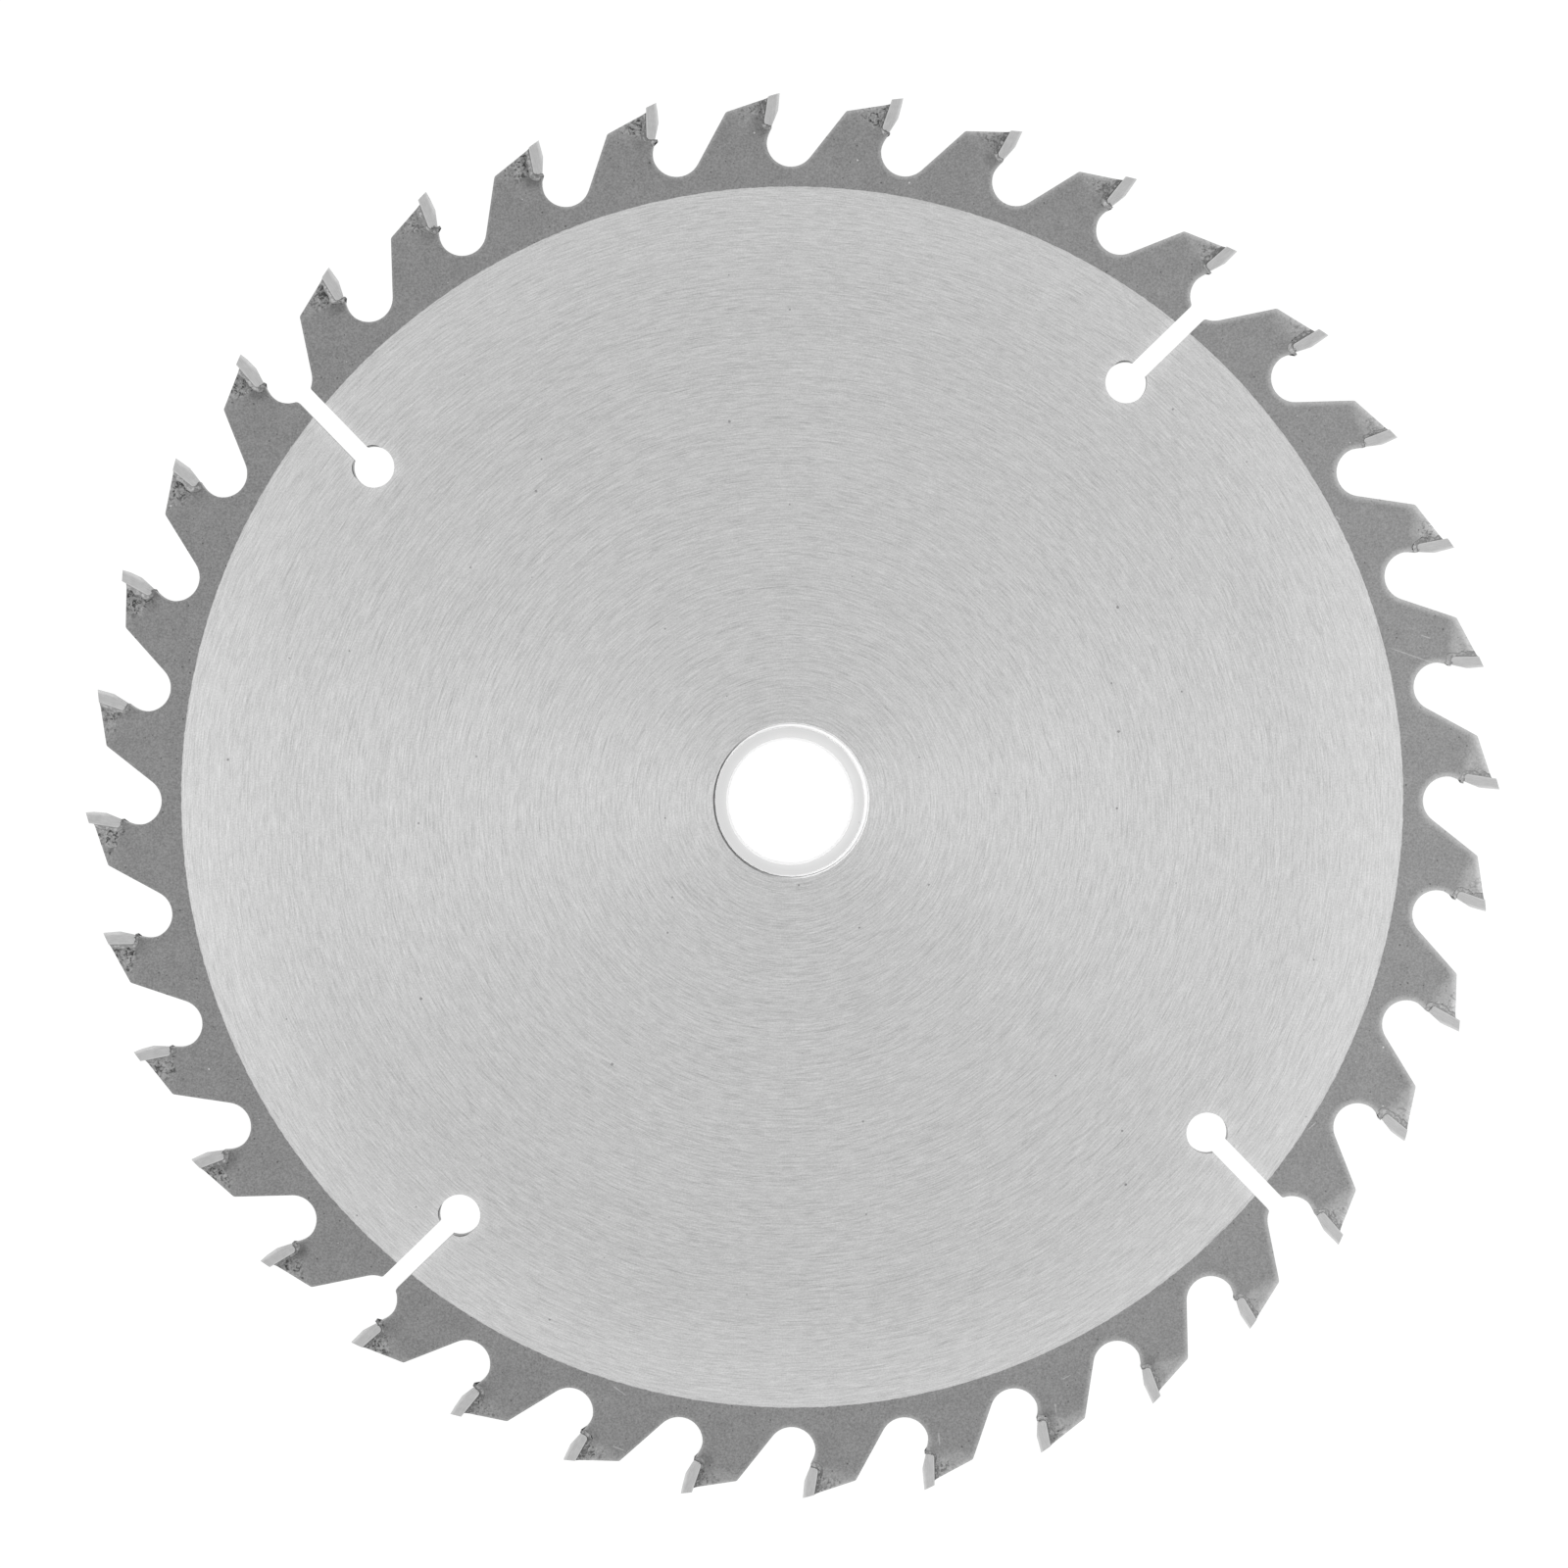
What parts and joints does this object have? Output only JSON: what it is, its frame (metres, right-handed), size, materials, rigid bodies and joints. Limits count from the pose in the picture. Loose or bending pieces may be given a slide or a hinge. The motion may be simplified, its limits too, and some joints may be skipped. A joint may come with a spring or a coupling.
{
  "type": "circular saw blade",
  "caption": "Flat circular saw blade with brazed carbide tips, keyhole expansion slots, a ground centre and a loose reduction ring in the arbor bore.",
  "frame": {"origin": "middle of the plate: on the blade's axis, halfway through its thickness", "axes": "+Z along the blade's axis towards the face the picture shows, +X through the cutting corner of tip 1; seen from +Z the blade cuts clockwise and the tips are numbered counter-clockwise"},
  "size_m": [0.184, 0.184, 0.0026],
  "materials": {
    "plate_steel": "circularly ground centre inside a dark heat-treated rim",
    "ring_steel": "bright, punched edges",
    "carbide": "ground tungsten carbide",
    "braze": "dull silver solder with flux stains"
  },
  "bodies": {
    "root": {"blade_plate": "plate_steel", "reduction_ring": "ring_steel", "carbide_tip_01": "carbide", "carbide_tip_02": "carbide", "carbide_tip_03": "carbide", "carbide_tip_04": "carbide", "carbide_tip_05": "carbide", "carbide_tip_06": "carbide", "carbide_tip_07": "carbide", "carbide_tip_08": "carbide", "carbide_tip_09": "carbide", "carbide_tip_10": "carbide", "carbide_tip_11": "carbide", "carbide_tip_12": "carbide", "carbide_tip_13": "carbide", "carbide_tip_14": "carbide", "carbide_tip_15": "carbide", "carbide_tip_16": "carbide", "carbide_tip_17": "carbide", "carbide_tip_18": "carbide", "carbide_tip_19": "carbide", "carbide_tip_20": "carbide", "carbide_tip_21": "carbide", "carbide_tip_22": "carbide", "carbide_tip_23": "carbide", "carbide_tip_24": "carbide", "carbide_tip_25": "carbide", "carbide_tip_26": "carbide", "carbide_tip_27": "carbide", "carbide_tip_28": "carbide", "carbide_tip_29": "carbide", "carbide_tip_30": "carbide", "carbide_tip_31": "carbide", "carbide_tip_32": "carbide", "carbide_tip_33": "carbide", "carbide_tip_34": "carbide", "carbide_tip_35": "carbide", "carbide_tip_36": "carbide", "braze_joints": "braze"}
  },
  "joints": []
}
